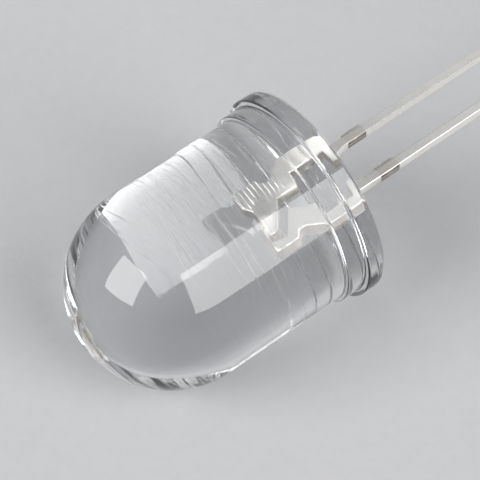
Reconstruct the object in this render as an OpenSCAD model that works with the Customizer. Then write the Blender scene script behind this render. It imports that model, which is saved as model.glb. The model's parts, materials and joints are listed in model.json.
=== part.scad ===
// Clear 10 mm light-emitting diode with two wire leads, lying on its side as it comes to rest.
// Each sub-part is drawn in the lamp's own axes: z runs from the flange's base to the dome, x runs
// from the chip lead to the wire lead, y is square to the lead frame's sheet. lie_down() then lays
// the lamp on the ground with its dome towards -X, its leads towards +X and its chip lead towards +Y.

/* [Lens] */
// Diameter of the barrel
body_d = 10; // [9:0.1:11]
// Height from the base to the tip of the dome
body_h = 13.5; // [12.5:0.1:15]
// Diameter of the flange
flange_d = 11; // [10.9:0.1:12]
// Thickness of the flange
flange_h = 1; // [0.6:0.05:1.2]
// Radius of the flange's rounded rim
rim_r = 0.15; // [0.05:0.01:0.24]
// Diameter of the collar above the flange
collar_d = 10.4; // [10.2:0.05:10.7]
// Height of the collar's top above the base
collar_h = 2; // [1.5:0.05:2.5]
// Radius on the collar's top edge
collar_edge_r = 0.08; // [0.03:0.01:0.1]
// Distance from the lens axis to the flat on the flange
flat_x = 5.2; // [5.1:0.05:5.3]

/* [Leads] */
// Distance between the centres of the two leads
lead_pitch = 2.54; // [2.4:0.02:2.8]
// Width of a lead
lead_w = 0.45; // [0.35:0.01:0.55]
// Thickness of the lead frame's sheet
sheet_t = 0.5; // [0.35:0.01:0.6]
// Length of the chip lead below the base
chip_lead_len = 25.5; // [12:0.5:30]
// How much longer the wire lead is
lead_extra = 1.5; // [0:0.5:3]
// Sideways place of the lead frame in the casting
frame_shift = 0.1; // [-0.2:0.05:0.2]
// Length of the bevel on a lead's cut end
tip_bevel = 0.1; // [0.05:0.01:0.15]

/* [Sheared stubs of the tie bar] */
// Distance from the base to the stubs
stub_z = 2.95; // [2.7:0.05:5]
// Height of a stub along the lead
stub_h = 1.1; // [0.6:0.05:1.5]
// How far a stub stands out on the side that was sheared last
stub_out = 0.12; // [0.05:0.01:0.25]
// How far a stub stands out on the other side
stub_in = 0.03; // [0.01:0.01:0.08]
// Depth of the sheared ends behind the faces of the sheet
stub_shy = 0.04; // [0.01:0.01:0.08]

/* [Anvil] */
// Width of the chip lead inside the lens
anchor_w = 0.625; // [0.56:0.005:0.8]
// How far the wide part of the chip lead reaches below the base
anchor_drop = 2.1; // [0.5:0.1:2.2]
// Height of the anvil's lower edge
anvil_z = 1.24; // [1.1:0.01:1.3]
// How much lower that edge is at the lead
anvil_drop = 0.12; // [0.05:0.01:0.2]
// Distance from the frame's centre to the stem's inner edge
stem_in_x = 0.38; // [0.3:0.01:0.5]
// Distance from the frame's centre to the stem's outer edge
stem_out_x = 1.3; // [1.2:0.01:1.4]
// Height of the ear on the stem
ear_z = 4.08; // [3.9:0.01:4.3]
// Distance from the frame's centre to the inner corner of the ear
ear_in_x = 0.73; // [0.65:0.01:0.9]
// Radius of the round notch in the stem's outer edge
notch_r = 0.61; // [0.5:0.01:0.7]
// Depth of the notch in the stem
notch_depth = 0.25; // [0.15:0.01:0.35]
// Height of the notch's centre
notch_z = 2.26; // [2.2:0.01:2.4]
// Distance from the frame's centre to the anvil's tip
tip_x = 0.58; // [0.52:0.01:0.62]
// Height at which the anvil's slanted underside starts at the stem
slant_z = 2.42; // [2.3:0.01:2.5]
// Height of the tip's lower corner
tip_z = 3.36; // [3.2:0.01:3.45]

/* [Reflector cup] */
// Height of the cup's rim
cup_z = 3.8; // [3.7:0.01:3.85]
// Outer diameter of the cup at its rim
cup_d = 0.96; // [0.9:0.01:1]
// Width of the rim
cup_rim = 0.06; // [0.04:0.01:0.08]
// Depth of the cup
cup_depth = 0.35; // [0.3:0.01:0.4]
// Diameter of the cup's floor
cup_floor_d = 0.46; // [0.44:0.01:0.5]
// Height of the coined body of the cup
cup_h = 0.85; // [0.8:0.01:0.95]
// Diameter at the foot of the cup's body
cup_foot_d = 0.36; // [0.3:0.01:0.45]

/* [Post] */
// Height of the post
post_z = 3.97; // [3.85:0.01:4.1]
// Distance from the frame's centre to the post's inner edge at its end
post_in_x = 0.83; // [0.8:0.01:0.87]
// Distance from the frame's centre to the post's outer edge
post_out_x = 1.27; // [1.22:0.01:1.35]
// Distance from the frame's centre to the post's inner edge where its slanted foot starts
neck_x = 0.97; // [0.9:0.01:1]
// Height at which the slanted foot starts
neck_z = 3.15; // [3.05:0.01:3.2]
// Distance from the frame's centre to the waist in the outer edge
waist_x = 1.01; // [1:0.01:1.1]
// Height of the waist's lower end
waist_z = 2.1; // [2:0.01:2.2]
// Length of the waist
waist_h = 0.4; // [0.3:0.01:0.5]
// Height of the step from the waist to the post's outer edge
step_h = 0.22; // [0.1:0.01:0.3]
// Distance from the frame's centre to the middle of the foot's round toe
toe_x = 0.33; // [0.3:0.01:0.4]
// Height of the middle of the toe
toe_z = 2.23; // [2.15:0.01:2.25]
// Radius of the toe
toe_r = 0.22; // [0.15:0.01:0.24]
// Height of the heel under the toe
heel_z = 1.75; // [1.6:0.01:1.8]
// Height of the foot's lower edge
foot_low_z = 1; // [0.9:0.05:1.1]
// Width of the shoulder on the wire lead below the base
shoulder = 0.16; // [0.05:0.01:0.2]

/* [Chip and wire] */
// Side of the square chip
chip_w = 0.3; // [0.22:0.01:0.3]
// Thickness of the chip
chip_h = 0.12; // [0.08:0.01:0.15]
// Thickness of the adhesive under the chip
glue_h = 0.02; // [0.01:0.005:0.04]
// Diameter of the patch of adhesive
glue_d = 0.44; // [0.43:0.005:0.44]
// Diameter of the bond wire
wire_d = 0.03; // [0.025:0.005:0.05]
// Diameter of the wire's two welds
weld_d = 0.09; // [0.06:0.01:0.12]
// Radius of the wire's loop
loop_r = 0.7; // [0.57:0.01:0.8]

/* [Hidden] */
$fn = 96;

body_r = body_d / 2;
dome_r = body_r;
flange_r = flange_d / 2;
collar_r = collar_d / 2;
dome_z = body_h - dome_r;
lip_z = flange_h - rim_r;

// Angle of the lens axis to the ground when the flange's rim and the dome both touch it
lip_x = flange_r - rim_r;
tilt = acos((dome_r - rim_r) / norm([lip_x, dome_z - lip_z])) - atan2(dome_z - lip_z, lip_x);
wire_lead_len = chip_lead_len + lead_extra;

// Place of the base's centre that puts the origin on the ground below the middle of the whole lamp
base_x = (dome_z * cos(tilt) + dome_r - wire_lead_len * cos(tilt) - sheet_t / 2 * sin(tilt)) / 2;
base_y = (flange_r - flat_x) / 2;
base_z = dome_r + dome_z * sin(tilt);

lead_x = lead_pitch / 2;
lead_in_x = lead_x - lead_w / 2;
lead_out_x = lead_x + lead_w / 2;
anchor_in_x = lead_out_x - anchor_w;
flare_h = 0.5;

cup_mouth_d = cup_d - 2 * cup_rim;
cup_floor_z = cup_z - cup_depth;
chip_z = cup_floor_z + glue_h;
chip_top = chip_z + chip_h;
bond_x = (post_in_x + post_out_x) / 2;

// The wire goes over in a round loop whose ends are inside its two welds
loop_from = [0, chip_top + wire_d / 2];
loop_to = [bond_x, post_z + wire_d / 2];
loop_span = loop_to - loop_from;
loop_drop = sqrt(loop_r ^ 2 - (norm(loop_span) / 2) ^ 2);
loop_turn = 2 * asin(norm(loop_span) / 2 / loop_r);
loop_mid = (loop_from + loop_to) / 2 + loop_drop * [loop_span.y, -loop_span.x] / norm(loop_span);

module lie_down() {
    translate([base_x, base_y, base_z]) rotate([0, -tilt, 0]) rotate([90, 0, -90]) children();
}

// Sets the lead frame where it sits in the casting
module in_casting() {
    translate([frame_shift, 0, 0]) children();
}

// Gives an outline drawn as x and height the thickness of the sheet
module sheet(thickness = sheet_t) {
    rotate([90, 0, 0]) linear_extrude(thickness, center = true) children();
}

// Ring of radius r with rounded edges, from one height to another, as a half section
module rounded_band(r, low, high, edge_r) {
    translate([0, low]) square([r - edge_r, high - low]);
    translate([0, low + edge_r]) square([r, high - low - 2 * edge_r]);
    for (z = [low + edge_r, high - edge_r]) translate([r - edge_r, z]) circle(edge_r);
}

module lens_section() {
    rounded_band(flange_r, 0, flange_h, rim_r);
    intersection() {
        rounded_band(collar_r, -flange_h, collar_h, collar_edge_r);
        square([collar_r, collar_h]);
    }
    square([body_r, dome_z]);
}

module lens_form() {
    difference() {
        union() {
            rotate_extrude() lens_section();
            translate([0, 0, dome_z]) sphere(dome_r);
        }
        translate([-flat_x - flange_r, -flange_r, -flange_h]) cube([flange_r, flange_d, 2 * flange_h]);
    }
}

// Outline of a lead from its cut end to the base, about its own centre line
module lead_outline(len) {
    half = lead_w / 2;
    polygon([
        [-half, 0], [-half, tip_bevel - len], [tip_bevel - half, -len],
        [half - tip_bevel, -len], [half, tip_bevel - len], [half, 0]
    ]);
}

// Ends of the tie bar that were sheared off beside a lead, a little thinner than the sheet
module stubs() {
    sheet(sheet_t - 2 * stub_shy) translate([-lead_w / 2 - stub_out, -stub_z - stub_h])
        square([lead_w + stub_out + stub_in, stub_h]);
}

module anvil_outline() {
    difference() {
        polygon([
            [-lead_out_x, 0], [-lead_out_x, anvil_z], [-stem_out_x, notch_z - notch_r + notch_depth / 2],
            [-stem_out_x, ear_z], [-ear_in_x, ear_z], [-cup_d / 2, cup_z], [tip_x, cup_z], [tip_x, tip_z],
            [-stem_in_x, slant_z], [-stem_in_x, anvil_z], [-anchor_in_x, anvil_z - anvil_drop], [-anchor_in_x, 0]
        ]);
        translate([-stem_out_x + notch_depth - notch_r, notch_z]) circle(notch_r);
    }
}

// The wide part of the chip lead runs on below the base and narrows to the lead
module anchor_outline() {
    polygon([
        [-lead_out_x, 0], [-lead_out_x, -anchor_drop - flare_h], [-lead_in_x, -anchor_drop - flare_h],
        [-anchor_in_x, -anchor_drop], [-anchor_in_x, 0]
    ]);
}

module cup_body() {
    translate([0, 0, cup_z - cup_h]) cylinder(h = cup_h, d1 = cup_foot_d, d2 = cup_d);
}

module cup_hollow() {
    wall_slope = (cup_mouth_d - cup_floor_d) / cup_depth;
    translate([0, 0, cup_floor_z])
        cylinder(h = 2 * cup_depth, d1 = cup_floor_d, d2 = cup_floor_d + 2 * cup_depth * wall_slope);
}

module anvil_form() {
    in_casting() difference() {
        union() {
            sheet() anvil_outline();
            sheet() anchor_outline();
            sheet() translate([-lead_x, 0]) lead_outline(chip_lead_len);
            translate([-lead_x, 0, 0]) stubs();
            cup_body();
        }
        cup_hollow();
    }
}

// Point where a line from p touches the toe, on its left (side 1) or its right (side -1)
function toe_touch(p, side) =
    let (c = [toe_x, toe_z], d = p - c, a = atan2(d.y, d.x) + side * acos(toe_r / norm(d)))
    c + toe_r * [cos(a), sin(a)];

module post_outline() {
    neck = [neck_x, neck_z];
    heel = [toe_x, heel_z];
    polygon([
        [lead_out_x, 0], [lead_out_x, foot_low_z], [waist_x, waist_z], [waist_x, waist_z + waist_h],
        [post_out_x, waist_z + waist_h + step_h], [post_out_x, post_z], [post_in_x, post_z], neck,
        toe_touch(neck, 1), toe_touch(heel, -1), heel, [toe_x + shoulder, foot_low_z],
        [lead_in_x, foot_low_z - shoulder / 2], [lead_in_x, 0]
    ]);
    translate([toe_x, toe_z]) circle(toe_r);
}

// The wire lead has a short shoulder below the base
module shoulder_outline() {
    polygon([
        [lead_in_x, -shoulder], [lead_in_x - shoulder, -2 * shoulder], [lead_in_x - shoulder, -anchor_drop],
        [lead_in_x, -anchor_drop - shoulder], [lead_x, -anchor_drop - shoulder], [lead_x, -shoulder]
    ]);
}

module post_form() {
    in_casting() union() {
        sheet() post_outline();
        sheet() shoulder_outline();
        sheet() translate([lead_x, 0]) lead_outline(wire_lead_len);
        translate([lead_x, 0, 0]) stubs();
    }
}

module glue_form() {
    in_casting() translate([0, 0, cup_floor_z]) cylinder(h = glue_h, d = glue_d);
}

module chip_form() {
    in_casting() translate([-chip_w / 2, -chip_w / 2, chip_z]) cube([chip_w, chip_w, chip_h]);
}

module weld() {
    cylinder(h = wire_d, d = weld_d);
}

module wire_form() {
    start = atan2(loop_to.y - loop_mid.y, loop_to.x - loop_mid.x);
    in_casting() {
        translate([0, 0, chip_top]) weld();
        translate([bond_x, 0, post_z]) weld();
        translate([loop_mid.x, 0, loop_mid.y]) rotate([90, 0, 0]) rotate([0, 0, start])
            rotate_extrude(angle = loop_turn) translate([loop_r, 0]) circle(d = wire_d);
    }
}

module epoxy_lens() {
    color([0.86, 0.88, 0.9, 0.35]) lie_down() difference() {
        lens_form();
        anvil_form();
        post_form();
        glue_form();
        chip_form();
        wire_form();
    }
}

module anvil_lead() {
    color([0.8, 0.79, 0.76]) lie_down() anvil_form();
}

module post_lead() {
    color([0.8, 0.79, 0.76]) lie_down() post_form();
}

module led_chip() {
    color([0.62, 0.66, 0.5]) lie_down() chip_form();
}

module die_attach() {
    color([0.7, 0.7, 0.7]) lie_down() glue_form();
}

module bond_wire() {
    color([0.85, 0.65, 0.25]) lie_down() wire_form();
}

epoxy_lens();
anvil_lead();
post_lead();
led_chip();
die_attach();
bond_wire();
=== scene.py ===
# A water-clear 10 mm through hole LED lying on its side on a pale surface.
# The part's own frame, the camera and the lights are in metres. Sizes of the lamp and of the floor are
# written in millimetres, and the lamp's are in its own axes: z runs from the base of the rim to the
# dome, x across both leads, y square to the sheet.

import json
import math

import bmesh
import bpy
from mathutils import Matrix, Vector, noise


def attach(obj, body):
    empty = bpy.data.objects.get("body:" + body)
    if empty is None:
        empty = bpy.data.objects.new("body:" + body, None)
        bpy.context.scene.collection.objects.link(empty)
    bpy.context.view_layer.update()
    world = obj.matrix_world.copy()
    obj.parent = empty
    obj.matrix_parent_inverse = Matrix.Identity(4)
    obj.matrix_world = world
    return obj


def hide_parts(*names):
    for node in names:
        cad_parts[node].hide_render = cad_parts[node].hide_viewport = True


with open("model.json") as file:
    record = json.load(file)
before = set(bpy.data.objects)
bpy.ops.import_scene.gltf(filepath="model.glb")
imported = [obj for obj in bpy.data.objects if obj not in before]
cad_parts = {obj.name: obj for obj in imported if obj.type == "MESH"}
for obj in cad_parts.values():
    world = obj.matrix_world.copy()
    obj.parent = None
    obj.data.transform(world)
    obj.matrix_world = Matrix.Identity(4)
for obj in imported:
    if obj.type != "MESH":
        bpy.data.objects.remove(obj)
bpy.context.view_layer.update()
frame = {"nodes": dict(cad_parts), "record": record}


# Anvil lead
# The lead that carries the chip: a strip of steel sheet, stamped out with its wide anvil, coined into a
# cup at the top, and tinned. The stamping rounds its edges, and the stub of the tie bar is sheared bare
# on one side, with a burr along the other.
MM = 0.001
mounts = {m["name"]: m for m in frame["record"]["mounts"]}
lens_axis = Vector(mounts["barrel"]["axis"]).normalized()
across_leads = Vector((0, -1, 0))
lamp = Matrix((across_leads, lens_axis.cross(across_leads), lens_axis)).transposed().to_4x4()
lamp.translation = Vector(mounts["seat"]["pos_m"])
to_lamp = lamp.inverted()

# Both leads sit FRAME_SHIFT off the lens's middle. Points nearer than SAME_POINT are one point.
FRAME_SHIFT = 0.1
LEAD_X = 1.27
LEAD_W = 0.45
SHEET_T = 0.5
STUB_LOW, STUB_HIGH = -4.05, -2.95
SAME_POINT = 1e-4
FACE, WALL, EDGE = 0, 1, 2


def add_piece(name, mesh_maker, materials, smooth_angle):
    """A piece of the lamp from a bmesh in the part's frame."""
    mesh = bpy.data.meshes.new(name)
    mesh_maker.to_mesh(mesh)
    mesh_maker.free()
    piece = bpy.data.objects.new(name, mesh)
    bpy.context.scene.collection.objects.link(piece)
    for material in materials:
        mesh.materials.append(material)
    mesh.shade_smooth()
    mesh.set_sharp_from_angle(angle=math.radians(smooth_angle))
    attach(piece, "root")
    return piece


class Finish:
    """A material under construction: its nodes, and the point on the lamp in millimetres."""

    def __init__(self, name):
        self.material = bpy.data.materials.new(name)
        self.material.use_nodes = True
        self.tree = self.material.node_tree
        self.shader = self.tree.nodes["Principled BSDF"]
        place = self.tree.nodes.new("ShaderNodeTexCoord")
        turn = self.add("ShaderNodeMapping", Vector=place.outputs["Object"])
        turn.inputs["Scale"].default_value = (1 / MM,) * 3
        turn.inputs["Rotation"].default_value = to_lamp.to_euler()
        turn.inputs["Location"].default_value = to_lamp.translation / MM
        self.point = turn.outputs["Vector"]
        self.axes = self.add("ShaderNodeSeparateXYZ", Vector=self.point).outputs

    def add(self, kind, **inputs):
        node = self.tree.nodes.new(kind)
        for name, value in inputs.items():
            self.feed(node.inputs[name.replace("_", " ")], value)
        return node

    def feed(self, socket, value):
        if isinstance(value, bpy.types.NodeSocket):
            self.tree.links.new(value, socket)
        else:
            socket.default_value = value

    def set(self, **inputs):
        for name, value in inputs.items():
            self.feed(self.shader.inputs[name.replace("_", " ")], value)

    def math(self, operation, *values):
        node = self.tree.nodes.new("ShaderNodeMath")
        node.operation = operation
        for socket, value in zip(node.inputs, values):
            self.feed(socket, value)
        return node.outputs[0]

    def stretched(self, x, y, z):
        """The point on the lamp, scaled along each of the lamp's axes."""
        node = self.tree.nodes.new("ShaderNodeVectorMath")
        node.operation = "MULTIPLY"
        self.feed(node.inputs[0], self.point)
        node.inputs[1].default_value = (x, y, z)
        return node.outputs[0]

    def noise(self, vector, scale, detail=4.0, roughness=0.55):
        node = self.add("ShaderNodeTexNoise", Vector=vector, Scale=scale, Detail=detail,
                        Roughness=roughness)
        return node.outputs["Fac"]

    def ramp(self, value, low, high, to_low=0.0, to_high=1.0):
        """Turns low to high into to_low to to_high, and holds both ends."""
        node = self.add("ShaderNodeMapRange", Value=value)
        sockets = ("From Min", "From Max", "To Min", "To Max")
        for name, number in zip(sockets, (low, high, to_low, to_high)):
            self.feed(node.inputs[name], number)
        return node.outputs["Result"]

    def band(self, value, low, high, soft):
        """1 where value is between low and high, falling to 0 over soft on either side."""
        rise = self.ramp(value, low - soft, low)
        fall = self.ramp(value, high, high + soft, 1.0, 0.0)
        return self.math("MULTIPLY", rise, fall)

    def mix(self, share, first, second):
        node = self.tree.nodes.new("ShaderNodeMix")
        node.data_type = "RGBA"
        self.feed(node.inputs["Factor"], share)
        self.feed(node.inputs["A"], (*first, 1) if isinstance(first, tuple) else first)
        self.feed(node.inputs["B"], (*second, 1) if isinstance(second, tuple) else second)
        return node.outputs["Result"]

    def bump(self, height, depth_mm, under=None):
        node = self.add("ShaderNodeBump", Height=height, Distance=depth_mm * MM)
        if under is not None:
            self.feed(node.inputs["Normal"], under)
        return node.outputs["Normal"]


# Tin on the strips, steel where it is torn, painted shade on the side walls inside the lens, and on the
# anvil's coined front painted highlights on the groove crests with painted shade between them
SPECKS = (0.74, 0.705, 0.65)
PAINTED_SHADE_DULL, PAINTED_SHADE_BRIGHT = (0.56, 0.51, 0.46), (0.70, 0.66, 0.61)
STUB_TIN = (0.74, 0.69, 0.62)
TORN_DARK, TORN_BRIGHT = (0.35, 0.305, 0.275), (0.60, 0.54, 0.49)
DARKEST_SHEAR = (0.23, 0.19, 0.165)
BARE_DARK, BARE_BRIGHT = (0.13, 0.10, 0.075), (0.46, 0.35, 0.24)
COINED_PAINTED_SHADE, COINED_PAINTED_HIGHLIGHT = (0.62, 0.61, 0.575), (0.98, 0.975, 0.95)
COINED_FROM, COINED_TO, COINED_STEP = 1.85, 4.05, 0.245
COINED_FULL_X, COINED_GONE_X = -0.75, -0.35
WALL_Y = 0.2


def tinned_finish(name, lead_x, dull, bright, rough, metallic, bare_patch=None):
    """Satin tin plate over stamped steel, with bare metal where the tie bar was sheared off, painted
    shade on the side walls inside the lens, and painted highlights with painted shade between them on
    the anvil's coined front.
    """
    f = Finish(name)
    x, y, z = f.axes["X"], f.axes["Y"], f.axes["Z"]
    from_lead = f.math("SUBTRACT", x, lead_x)
    along_stub = f.band(z, STUB_LOW, STUB_HIGH, 0.03)
    beside_lead = f.ramp(from_lead, LEAD_W / 2 + 0.005, LEAD_W / 2 + 0.02)
    sheared = f.math("MULTIPLY", beside_lead, along_stub)
    roll_lines = f.noise(f.stretched(9.0, 9.0, 0.35), scale=1.0, detail=3.0, roughness=0.6)
    grain = f.noise(f.point, scale=22.0, detail=5.0, roughness=0.65)
    clouds = f.noise(f.point, scale=1.6, detail=3.0, roughness=0.5)
    torn = f.noise(f.stretched(4.0, 14.0, 6.0), scale=1.0, detail=4.0, roughness=0.7)

    plate = f.mix(clouds, dull, bright)
    speckled = f.mix(f.ramp(grain, 0.55, 0.75), plate, SPECKS)
    # Painted shade: inside the lens the side walls of the strip take darker colours.
    in_lens = f.ramp(z, -0.1, 0.3)
    on_wall = f.ramp(f.math("ABSOLUTE", y), WALL_Y + 0.02, WALL_Y)
    painted_shade_wall = f.math("MULTIPLY", in_lens, on_wall)
    colour = f.mix(painted_shade_wall, speckled, f.mix(clouds, PAINTED_SHADE_DULL, PAINTED_SHADE_BRIGHT))
    colour = f.mix(f.math("MULTIPLY", along_stub, 0.6), colour, STUB_TIN)
    # The sheared face is darker along a line near its front edge and towards both ends of the stub.
    dark_line = f.band(y, SHEET_T / 2 - 0.15, SHEET_T / 2 - 0.05, 0.04)
    stub_ends = f.band(z, STUB_LOW + 0.06, STUB_HIGH - 0.06, 0.05)
    dark = f.math("MAXIMUM", dark_line, f.math("SUBTRACT", 1.0, stub_ends))
    torn_face = f.mix(torn, TORN_DARK, TORN_BRIGHT)
    colour = f.mix(sheared, colour, f.mix(dark, torn_face, DARKEST_SHEAR))
    relief = f.bump(roll_lines, depth_mm=0.005)
    relief = f.bump(grain, depth_mm=0.0015, under=relief)
    relief = f.bump(f.math("MULTIPLY", torn, along_stub), depth_mm=0.012, under=relief)

    if bare_patch is not None:
        patch_x, patch_z, patch_w, patch_h = bare_patch
        off_x = f.math("DIVIDE", f.math("SUBTRACT", x, patch_x), patch_w)
        off_z = f.math("DIVIDE", f.math("SUBTRACT", z, patch_z), patch_h)
        reach = f.math("ADD", f.math("POWER", off_x, 2.0), f.math("POWER", off_z, 2.0))
        speckle = f.noise(f.point, scale=16.0, detail=4.0, roughness=0.75)
        spot = f.math("MULTIPLY", f.ramp(reach, 0.4, 1.0, 1.0, 0.0), f.ramp(speckle, 0.44, 0.56))
        colour = f.mix(spot, colour, f.mix(f.noise(f.point, scale=30.0), BARE_DARK, BARE_BRIGHT))

        phase = f.math("FRACT", f.math("DIVIDE", f.math("SUBTRACT", z, COINED_FROM), COINED_STEP))
        groove = f.math("ADD", f.ramp(phase, 0.60, 0.78, 1.0, 0.0), f.ramp(phase, 0.78, 0.96))
        along = f.band(z, COINED_FROM, COINED_TO, 0.05)
        across = f.ramp(x, COINED_FULL_X, COINED_GONE_X, 1.0, 0.0)
        on_front = f.ramp(y, WALL_Y, WALL_Y + 0.03)
        depth = f.math("MULTIPLY", f.math("MULTIPLY", along, across), on_front)
        uneven = f.ramp(f.noise(f.stretched(0.8, 0.8, 3.0), scale=1.0), 0.35, 0.6, 0.7, 1.0)
        coined = f.math("MULTIPLY", depth, uneven)
        # The coined grooves are real relief. Their colours are painted: a painted highlight, near white,
        # on the crests, and painted shade, a darker grey, between them.
        crest = f.math("MULTIPLY", f.band(phase, 0.64, 0.80, 0.07), coined)
        between = f.math("MULTIPLY", coined, 0.55)
        colour = f.mix(crest, f.mix(between, colour, COINED_PAINTED_SHADE), COINED_PAINTED_HIGHLIGHT)
        relief = f.bump(f.math("MULTIPLY", groove, coined), depth_mm=0.026, under=relief)

    roughness = f.ramp(grain, 0.3, 0.7, rough - 0.06, rough + 0.06)
    f.set(Base_Color=colour, Metallic=metallic, Roughness=roughness, Normal=relief)
    return f.material


def strip_finishes(name, lead_x, bare_patch=None):
    """Finishes of a strip's flat faces, of its side walls and of its rounded edges, in that order."""
    face = tinned_finish(name + "_face", lead_x, dull=(0.82, 0.80, 0.76), bright=(0.93, 0.915, 0.88),
                         rough=0.42, metallic=0.58, bare_patch=bare_patch)
    wall = tinned_finish(name + "_wall", lead_x, dull=(0.88, 0.85, 0.81), bright=(0.96, 0.94, 0.91),
                         rough=0.45, metallic=0.58)
    edge = tinned_finish(name + "_edge", lead_x, dull=(0.95, 0.94, 0.91), bright=(0.98, 0.975, 0.96),
                         rough=0.28, metallic=0.80)
    return [face, wall, edge]


# A burr stands BURR_LEAST of its height or more, and takes a new height at every BURR_STEP.
BURR_H, BURR_LEAST = 0.035, 0.3
BURR_STEP, BURR_CUTS = 0.05, 21


def raise_burr(bm, x_limit, z_low, z_high):
    """Pulls the rounded front edge on a strip's left side into a ragged burr."""
    def on_burr(v):
        return v.co.y > 0 and v.co.x < x_limit and z_low < v.co.z < z_high

    def is_edge(face):
        return face.material_index == EDGE

    lengthways = [e for e in bm.edges if all(on_burr(v) for v in e.verts)
                  and e.calc_length() > 2 * BURR_STEP and any(is_edge(face) for face in e.link_faces)]
    bmesh.ops.subdivide_edges(bm, edges=lengthways, cuts=BURR_CUTS, use_grid_fill=True)
    bm.normal_update()
    crest = [v for v in bm.verts if on_burr(v) and all(is_edge(face) for face in v.link_faces)]
    for v in crest:
        ragged = noise.cell(Vector((v.co.z / BURR_STEP, x_limit, 0.5)))
        v.co += v.normal * BURR_H * (BURR_LEAST + ragged)


# Outward turns sharper than STAMPED_ANGLE degrees are rounded, apart from those through the sheet's
# thickness, round the mouth of the cup and at the sheared end of the stub.
STAMPED_EDGE_R = 0.038
STAMPED_ANGLE = 60
FLAT_ANGLE = 1
SQUARE_ON = 0.9
CUP_INSIDE_R, CUP_INSIDE_Z = 0.43, 3.4
STUB_SIDE = 0.1
MARGIN = 0.01


def stamped_copy(node, lead_x):
    """The node's solid in the lamp's axes, its loose triangles joined and its stamped edges rounded."""
    def is_coined(v):
        return math.hypot(v.co.x - FRAME_SHIFT, v.co.y) < CUP_INSIDE_R and v.co.z > CUP_INSIDE_Z

    def is_sheared(v):
        beside = v.co.x > lead_x + LEAD_W / 2 - MARGIN and abs(v.co.y) < SHEET_T / 2 - MARGIN
        return beside and STUB_LOW - MARGIN < v.co.z < STUB_HIGH + MARGIN

    bm = bmesh.new()
    bm.from_mesh(frame["nodes"][node].data)
    bmesh.ops.remove_doubles(bm, verts=bm.verts, dist=SAME_POINT * MM)
    bmesh.ops.dissolve_limit(bm, angle_limit=math.radians(FLAT_ANGLE), verts=bm.verts, edges=bm.edges)
    bm.transform(Matrix.Scale(1 / MM, 4) @ to_lamp)
    bm.normal_update()
    for face in bm.faces:
        face.material_index = FACE if abs(face.normal.y) > SQUARE_ON else WALL
    stamped = [e for e in bm.edges if e.is_convex and e.calc_face_angle() > math.radians(STAMPED_ANGLE)
               and abs((e.verts[0].co - e.verts[1].co).normalized().y) < SQUARE_ON
               and not all(is_coined(v) or is_sheared(v) for v in e.verts)]
    rounded = bmesh.ops.bevel(bm, geom=stamped, offset=STAMPED_EDGE_R, offset_type="OFFSET", segments=3,
                              profile=0.5, affect="EDGES", clamp_overlap=False, material=-1)["faces"]
    for face in rounded:
        face.material_index = EDGE
    raise_burr(bm, lead_x - LEAD_W / 2 - STUB_SIDE, STUB_LOW, STUB_HIGH)
    return bm


def finished_strip(bm):
    """The strip in the part's frame, cut into triangles, with those that have no area taken out."""
    bmesh.ops.triangulate(bm, faces=bm.faces)
    bmesh.ops.dissolve_degenerate(bm, dist=SAME_POINT, edges=bm.edges)
    bmesh.ops.triangulate(bm, faces=bm.faces)
    bm.transform(lamp @ Matrix.Scale(MM, 4))
    return bm


def add_strip(name, bm, finishes):
    """A strip as a piece whose flat faces shade flat, with every turn left to its rounded edges."""
    strip = add_piece(name, finished_strip(bm), finishes, smooth_angle=50)
    flats = strip.modifiers.new("flat_faces", "WEIGHTED_NORMAL")
    flats.keep_sharp = True
    return strip


# A patch near the anvil's top that the tin missed: its middle in x and z, its half width and half height
BARE_PATCH = (-0.78, 3.98, 0.25, 0.12)
anvil_x = FRAME_SHIFT - LEAD_X
anvil_finishes = strip_finishes("tinned_anvil", anvil_x, BARE_PATCH)
anvil = add_strip("anvil_strip", stamped_copy("anvil_lead", anvil_x), anvil_finishes)
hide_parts("anvil_lead")


# Post lead
# The other strip of the lead frame, stamped from the same tinned sheet. Its slanted foot reaches under
# the anvil without touching it, its post takes the bond wire, and a worn die left it a ragged edge
# between the lens and the stub.
RAGGED_LOW, RAGGED_HIGH = -2.4, -0.9
RAGGED_W = 0.05
post_x = FRAME_SHIFT + LEAD_X
post_strip = stamped_copy("post_lead", post_x)
raise_burr(post_strip, post_x - LEAD_W / 2 + RAGGED_W, RAGGED_LOW, RAGGED_HIGH)
post = add_strip("post_strip", post_strip, strip_finishes("tinned_post", post_x))
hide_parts("post_lead")


# Adhesive, chip and wire
# The chip is glued into the cup with silver-filled adhesive. A fine gold wire is welded to the pad on
# its top and to the end of the post.
RESIN, SILVER = (0.50, 0.50, 0.48), (0.78, 0.77, 0.74)
glue = Finish("silver_adhesive")
flakes = glue.noise(glue.point, scale=60.0, detail=3.0, roughness=0.7)
glue.set(Base_Color=glue.mix(flakes, RESIN, SILVER), Metallic=0.6,
         Roughness=glue.ramp(flakes, 0.3, 0.7, 0.4, 0.65), Normal=glue.bump(flakes, depth_mm=0.006))
frame["nodes"]["die_attach"].data.materials.clear()
frame["nodes"]["die_attach"].data.materials.append(glue.material)

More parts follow.
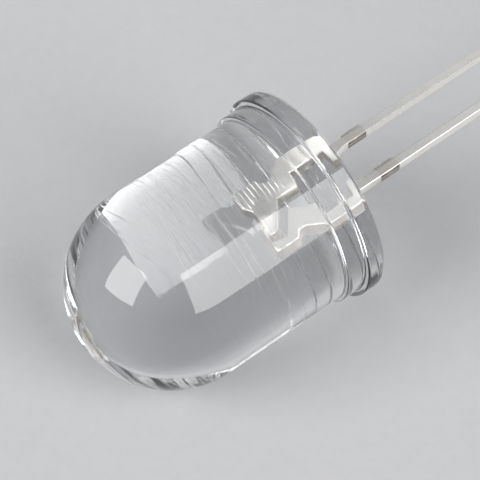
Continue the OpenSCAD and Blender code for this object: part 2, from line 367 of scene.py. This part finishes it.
CHIP_TOP = 3.59
PAD_R, PAD_RIM = 0.06, 0.008
PAD_GOLD = (0.90, 0.66, 0.30)
CRYSTAL_DARK, CRYSTAL_BRIGHT = (0.42, 0.45, 0.22), (0.62, 0.62, 0.34)
die = Finish("led_die")
off_x = die.math("SUBTRACT", die.axes["X"], FRAME_SHIFT)
off_squared = die.math("ADD", die.math("POWER", off_x, 2.0), die.math("POWER", die.axes["Y"], 2.0))
in_pad = die.ramp(die.math("SQRT", off_squared), PAD_R, PAD_R + PAD_RIM, 1.0, 0.0)
pad = die.math("MULTIPLY", in_pad, die.ramp(die.axes["Z"], CHIP_TOP - PAD_RIM, CHIP_TOP - PAD_RIM / 2))
saw_marks = die.noise(die.stretched(6.0, 6.0, 80.0), scale=1.0, detail=2.0)
crystal = die.mix(saw_marks, CRYSTAL_DARK, CRYSTAL_BRIGHT)
die.set(Base_Color=die.mix(pad, crystal, PAD_GOLD), Metallic=pad,
        Roughness=die.ramp(saw_marks, 0.3, 0.7, 0.15, 0.35), Normal=die.bump(saw_marks, depth_mm=0.002))
frame["nodes"]["led_chip"].data.materials.clear()
frame["nodes"]["led_chip"].data.materials.append(die.material)

GOLD_DARK, GOLD_BRIGHT = (0.83, 0.60, 0.27), (0.93, 0.72, 0.38)
gold = Finish("gold_wire")
drawn = gold.noise(gold.stretched(40.0, 40.0, 8.0), scale=1.0, detail=3.0)
gold.set(Base_Color=gold.mix(drawn, GOLD_DARK, GOLD_BRIGHT), Metallic=1.0,
         Roughness=gold.ramp(drawn, 0.3, 0.7, 0.18, 0.30), Normal=gold.bump(drawn, depth_mm=0.001))
frame["nodes"]["bond_wire"].data.materials.clear()
frame["nodes"]["bond_wire"].data.materials.append(gold.material)


# Lens
# One casting of water-clear epoxy round the frame. The mould gives the rim, collar, barrel and dome a
# polished skin with fine turning marks round the barrel, and the open side of the mould leaves a
# slightly hollow base that creeps up the leads.
BODY_R = mounts["barrel"]["dims"]["r_mm"]
BODY_H = 13.5
DOME_Z = BODY_H - BODY_R
RIM_R = 5.5
RIM_H = 1.0
RIM_LOW_EDGE, RIM_HIGH_EDGE = 0.22, 0.09
BASE_R = RIM_R - RIM_LOW_EDGE
COLLAR_R = 5.2
COLLAR_H = 2.0
COLLAR_EDGE = 0.05
BARREL_CORNER = COLLAR_EDGE / 2
BASE_HOLLOW = 0.12
CREEP_H, CREEP_W = 0.16, 0.22
RING_STEP = 0.1
DOME_STEPS, LENS_STEPS = 96, 360

# The flat on the rim stands at FLAT_X on the anvil's side, and spans less than FLAT_REACH degrees to
# either side of it.
FLAT_X, FLAT_REACH = 5.2, 20


def arc(centre_r, centre_z, radius, start, end, steps):
    """Points of an arc in the half section, with angles in degrees from the outward direction."""
    angles = [math.radians(start + (end - start) * i / steps) for i in range(steps + 1)]
    return [(centre_r + radius * math.cos(a), centre_z + radius * math.sin(a)) for a in angles]


def stretch(r_from, z_from, r_to, z_to, step):
    """Points of a straight stretch, its ends left out."""
    r_span, z_span = r_to - r_from, z_to - z_from
    count = max(2, round(math.hypot(r_span, z_span) / step))
    return [(r_from + r_span * i / count, z_from + z_span * i / count) for i in range(1, count)]


def spun(section, steps):
    """A skin spun round the upright axis from a half section in millimetres, its poles merged."""
    bm = bmesh.new()
    points = [bm.verts.new((r, 0, z)) for r, z in section]
    edges = [bm.edges.new(pair) for pair in zip(points, points[1:])]
    bmesh.ops.spin(bm, geom=points + edges, cent=(0, 0, 0), axis=(0, 0, 1), angle=math.tau, steps=steps,
                   use_merge=True)
    bmesh.ops.remove_doubles(bm, verts=bm.verts, dist=SAME_POINT)
    bmesh.ops.recalc_face_normals(bm, faces=bm.faces)
    return bm


low_edge = arc(BASE_R, RIM_LOW_EDGE, RIM_LOW_EDGE, start=-90, end=0, steps=10)
high_edge = arc(RIM_R - RIM_HIGH_EDGE, RIM_H - RIM_HIGH_EDGE, RIM_HIGH_EDGE, start=0, end=90, steps=8)
rim_corner = arc(COLLAR_R + COLLAR_EDGE, RIM_H + COLLAR_EDGE, COLLAR_EDGE, start=270, end=180, steps=5)
collar_edge = arc(COLLAR_R - COLLAR_EDGE, COLLAR_H - COLLAR_EDGE, COLLAR_EDGE, start=0, end=90, steps=6)
collar_corner = arc(BODY_R + BARREL_CORNER, COLLAR_H + BARREL_CORNER, BARREL_CORNER, start=270, end=180,
                    steps=4)
dome = arc(0, DOME_Z, BODY_R, start=0, end=90, steps=DOME_STEPS)
half_section = [(0.0, 0.0)]
for piece_of_section in (low_edge, high_edge, rim_corner, collar_edge, collar_corner, dome):
    half_section += stretch(*half_section[-1], *piece_of_section[0], RING_STEP) + piece_of_section

bm = spun(half_section, LENS_STEPS)
for v in bm.verts:
    r = math.hypot(v.co.x, v.co.y)
    on_rim = FLAT_X < r and v.co.z < RIM_H + COLLAR_EDGE + SAME_POINT
    if on_rim and v.co.x < -FLAT_X * math.cos(math.radians(FLAT_REACH)):
        flat_r = min(RIM_R, FLAT_X * r / -v.co.x)
        new_r = FLAT_X + (r - FLAT_X) * (flat_r - FLAT_X) / (RIM_R - FLAT_X)
        v.co.xy *= new_r / r
    if v.co.z < SAME_POINT and r < BASE_R - SAME_POINT:
        hollow = BASE_HOLLOW * (1 - (r / BASE_R) ** 2)
        out_x = max(0, abs(abs(v.co.x - FRAME_SHIFT) - LEAD_X) - LEAD_W / 2)
        out_y = max(0, abs(v.co.y) - SHEET_T / 2)
        v.co.z = hollow - CREEP_H * math.exp(-math.hypot(out_x, out_y) / CREEP_W)
bmesh.ops.remove_doubles(bm, verts=bm.verts, dist=SAME_POINT)
bm.transform(lamp @ Matrix.Scale(MM, 4))

EPOXY_TINT = (0.985, 0.99, 1.0, 1)
EPOXY_IOR = 1.53
MARKS_LOW, MARKS_HIGH, MARKS_FADE = COLLAR_H + 0.3, DOME_Z - 1.9, 0.8
epoxy = Finish("water_clear_epoxy")
on_barrel = epoxy.band(epoxy.axes["Z"], MARKS_LOW, MARKS_HIGH, MARKS_FADE)
rings = epoxy.noise(epoxy.stretched(0.02, 0.02, 13.0), scale=1.0, detail=3.0, roughness=0.7)
reach = epoxy.noise(epoxy.stretched(0.4, 0.4, 5.0), scale=1.0, detail=3.0, roughness=0.6)
broken = epoxy.math("ADD", epoxy.math("MULTIPLY", rings, 0.6), epoxy.math("MULTIPLY", reach, 0.4))
marks = epoxy.math("MULTIPLY", epoxy.ramp(broken, 0.55, 0.61), on_barrel)
ripple = epoxy.noise(epoxy.point, scale=0.9, detail=2.0, roughness=0.4)
skin = epoxy.bump(ripple, depth_mm=0.002)
skin = epoxy.bump(marks, depth_mm=0.0012, under=skin)
epoxy.set(Base_Color=EPOXY_TINT, Roughness=epoxy.math("MULTIPLY", marks, 0.08), IOR=EPOXY_IOR,
          Transmission_Weight=epoxy.ramp(marks, 0.0, 1.0, 1.0, 0.82), Normal=skin)
lens = add_piece("epoxy_casting", bm, [epoxy.material], smooth_angle=75)
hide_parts("epoxy_lens")


# Floor
# A plain pale tabletop of matt board, which turns up into a low backdrop all round. It is there for the
# picture alone.
FLOOR_FLAT_R, COVE_R, WALL_H = 750, 200, 50
FLOOR_STEPS = 96
BOARD_DARK, BOARD_BRIGHT = (0.50, 0.50, 0.505), (0.54, 0.54, 0.545)
cove = arc(FLOOR_FLAT_R, COVE_R, COVE_R, start=-90, end=0, steps=9)
wall_top = (FLOOR_FLAT_R + COVE_R, COVE_R + WALL_H)
bm = spun([(0.0, 0.0), *cove, wall_top], FLOOR_STEPS)
bm.transform(Matrix.Scale(MM, 4))
mesh = bpy.data.meshes.new("tabletop")
bm.to_mesh(mesh)
bm.free()
mesh.shade_smooth()
tabletop = bpy.data.objects.new("tabletop", mesh)
bpy.context.scene.collection.objects.link(tabletop)
board = Finish("pale_tabletop")
fibres = board.noise(board.point, scale=1.5, detail=5.0, roughness=0.6)
board.set(Base_Color=board.mix(fibres, BOARD_DARK, BOARD_BRIGHT), Roughness=0.8,
          Normal=board.bump(fibres, depth_mm=0.02))
mesh.materials.append(board.material)


# Light
# Two soft boxes stand at either side of the camera, where the lens and dome mirror them, and a dim even
# fill comes from all round.
LIGHT_DISTANCE = 3.0
LENS_MIDDLE_Z = 8.0
FILL_COLOUR, FILL_STRENGTH = (0.92, 0.95, 1.0, 1), 0.25
lens_middle = lamp @ Vector((0, 0, LENS_MIDDLE_Z * MM))


def soft_box(name, across, up, width, height, radiance):
    """A rectangular lamp that faces the lens, turned by its two edges and sized at a distance of one."""
    across, up = Vector(across).normalized(), Vector(up).normalized()
    towards = across.cross(up).normalized()
    light = bpy.data.lights.new(name, "AREA")
    light.shape = "RECTANGLE"
    light.size, light.size_y = width * LIGHT_DISTANCE, height * LIGHT_DISTANCE
    light.energy = radiance * light.size * light.size_y * math.pi
    obj = bpy.data.objects.new(name, light)
    obj.matrix_world = Matrix((across, towards.cross(across), towards)).transposed().to_4x4()
    obj.location = lens_middle + towards * LIGHT_DISTANCE
    bpy.context.scene.collection.objects.link(obj)


soft_box("left_box", (-0.039, -0.971, 0.209), (0.607, 0.141, 0.775), width=0.68, height=0.66,
         radiance=6.2)
soft_box("right_box", (0.985, 0.073, -0.157), (0.074, 0.645, 0.760), width=0.56, height=0.855,
         radiance=5.3)
world = bpy.data.worlds.new("dim_studio")
world.use_nodes = True
world.node_tree.nodes["Background"].inputs["Color"].default_value = FILL_COLOUR
world.node_tree.nodes["Background"].inputs["Strength"].default_value = FILL_STRENGTH
bpy.context.scene.world = world
bpy.context.scene.view_settings.view_transform = "Standard"


# Camera
# A long lens about 90 mm away, looking down on the lamp from the side of its dome. Its place and turn
# come from fitting the lens outline and the leads to the photo's edges.
camera = bpy.data.objects.new("camera", bpy.data.cameras.new("camera"))
camera.data.sensor_width = 36
camera.data.lens = 140.28
camera.data.clip_start = 0.005
camera.location = (-0.042235, -0.041029, 0.077395)
camera.rotation_euler = [math.radians(a) for a in (35.502, 0.035, -37.107)]
bpy.context.scene.collection.objects.link(camera)
bpy.context.scene.camera = camera
